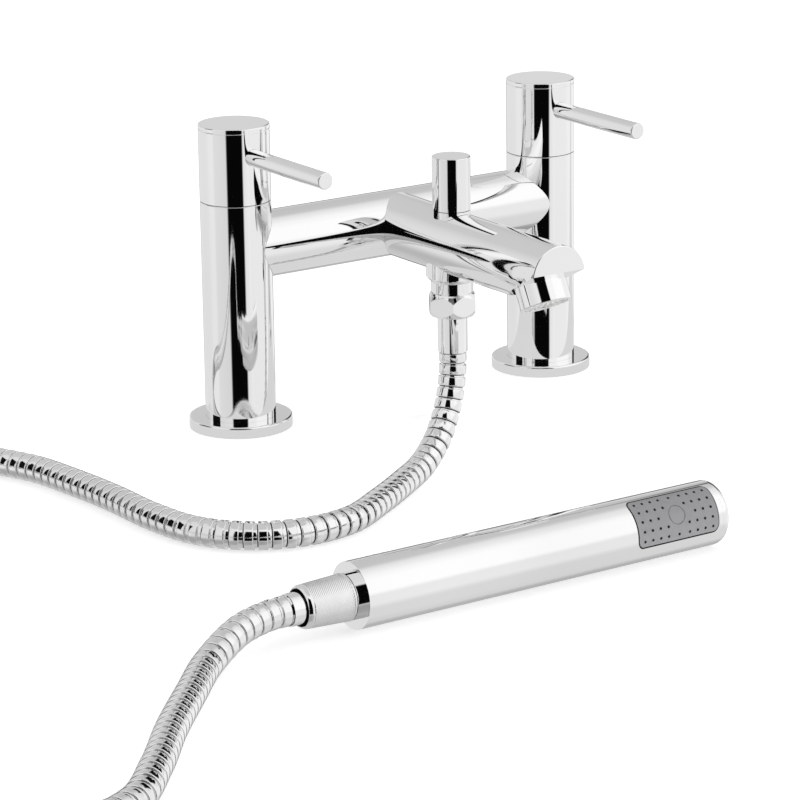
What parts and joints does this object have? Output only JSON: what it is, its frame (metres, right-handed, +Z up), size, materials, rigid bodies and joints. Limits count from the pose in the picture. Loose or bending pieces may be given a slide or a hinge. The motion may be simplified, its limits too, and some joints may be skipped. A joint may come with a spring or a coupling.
{
  "type": "bath shower mixer",
  "caption": "Chrome deck-mounted bath shower mixer with lever handles, a tubular spout, a pull-up diverter, and a baton handset on a ribbed metal hose.",
  "frame": {"origin": "midway between the two inlet tails, on the deck that the flanges stand on", "axes": "+X to the right-hand inlet as the user sees it, the spout and the levers point to -Y, +Z up out of the deck"},
  "size_m": [0.5582, 0.465, 0.1943],
  "materials": {
    "chrome": "bright mirror chrome plate on brass",
    "hose_metal": "chromed interlocked metal hose",
    "satin_chrome": "fine diagonal knurl, satin chrome",
    "brass": "machined brass",
    "rubber": "matt black rubber",
    "ceramic": "lapped white alumina ceramic",
    "dark_steel": "blackened steel",
    "white_plastic": "white moulded acetal",
    "spray_grey": "satin grey plastic"
  },
  "bodies": {
    "mixer_body": {"left_pillar": "chrome", "left_base_flange": "chrome", "left_base_seal": "rubber", "left_inlet_tail": "brass", "left_seat_seal": "rubber", "left_valve_body": "brass", "left_fixed_disc": "ceramic", "left_spindle_ring": "rubber", "left_bonnet": "brass", "right_pillar": "chrome", "right_base_flange": "chrome", "right_base_seal": "rubber", "right_inlet_tail": "brass", "right_seat_seal": "rubber", "right_valve_body": "brass", "right_fixed_disc": "ceramic", "right_spindle_ring": "rubber", "right_bonnet": "brass", "cross_bar": "chrome", "spout": "chrome", "nozzle_housing": "chrome", "nozzle_washer": "rubber", "nozzle_insert": "white_plastic", "diverter_guide": "brass", "diverter_ring": "rubber", "outlet_nipple": "chrome", "hose_nut": "chrome", "hose_washer": "rubber", "upper_hose_tail": "brass", "upper_ferrule": "chrome", "shower_hose": "hose_metal", "lower_ferrule": "chrome", "lower_hose_tail": "brass"},
    "left_handle_body": {"left_handle": "chrome", "left_handle_cap": "chrome", "left_lever": "chrome", "left_grub_screw": "dark_steel", "left_spindle": "brass", "left_moving_disc": "ceramic"},
    "right_handle_body": {"right_handle": "chrome", "right_handle_cap": "chrome", "right_lever": "chrome", "right_grub_screw": "dark_steel", "right_spindle": "brass", "right_moving_disc": "ceramic"},
    "diverter_body": {"diverter_knob": "chrome", "diverter_stem": "brass", "diverter_washer": "rubber"},
    "handset_body": {"cone_nut": "satin_chrome", "handset_washer": "rubber", "handset_inlet": "chrome", "handset_tube": "chrome", "handset_waterway": "white_plastic", "spray_chamber": "white_plastic", "spray_plate": "spray_grey", "handset_end_cap": "chrome"}
  },
  "joints": [
    {"name": "left_handle_turn", "type": "hinge", "parent": "mixer_body", "child": "left_handle_body", "pos_m": [-0.09, 0, 0.1123], "axis": [0, 0, -1], "range_deg": [0, 90]},
    {"name": "right_handle_turn", "type": "hinge", "parent": "mixer_body", "child": "right_handle_body", "pos_m": [0.09, 0, 0.1123], "axis": [0, 0, 1], "range_deg": [0, 90]},
    {"name": "diverter_lift", "type": "slide", "parent": "mixer_body", "child": "diverter_body", "axis": [0, 0, 1], "range_m": [0, 0.008]},
    {"name": "handset_swivel", "type": "hinge", "parent": "mixer_body", "child": "handset_body", "pos_m": [-0.169, -0.217, -0.01], "axis": [1, 0, 0], "continuous": true}
  ]
}
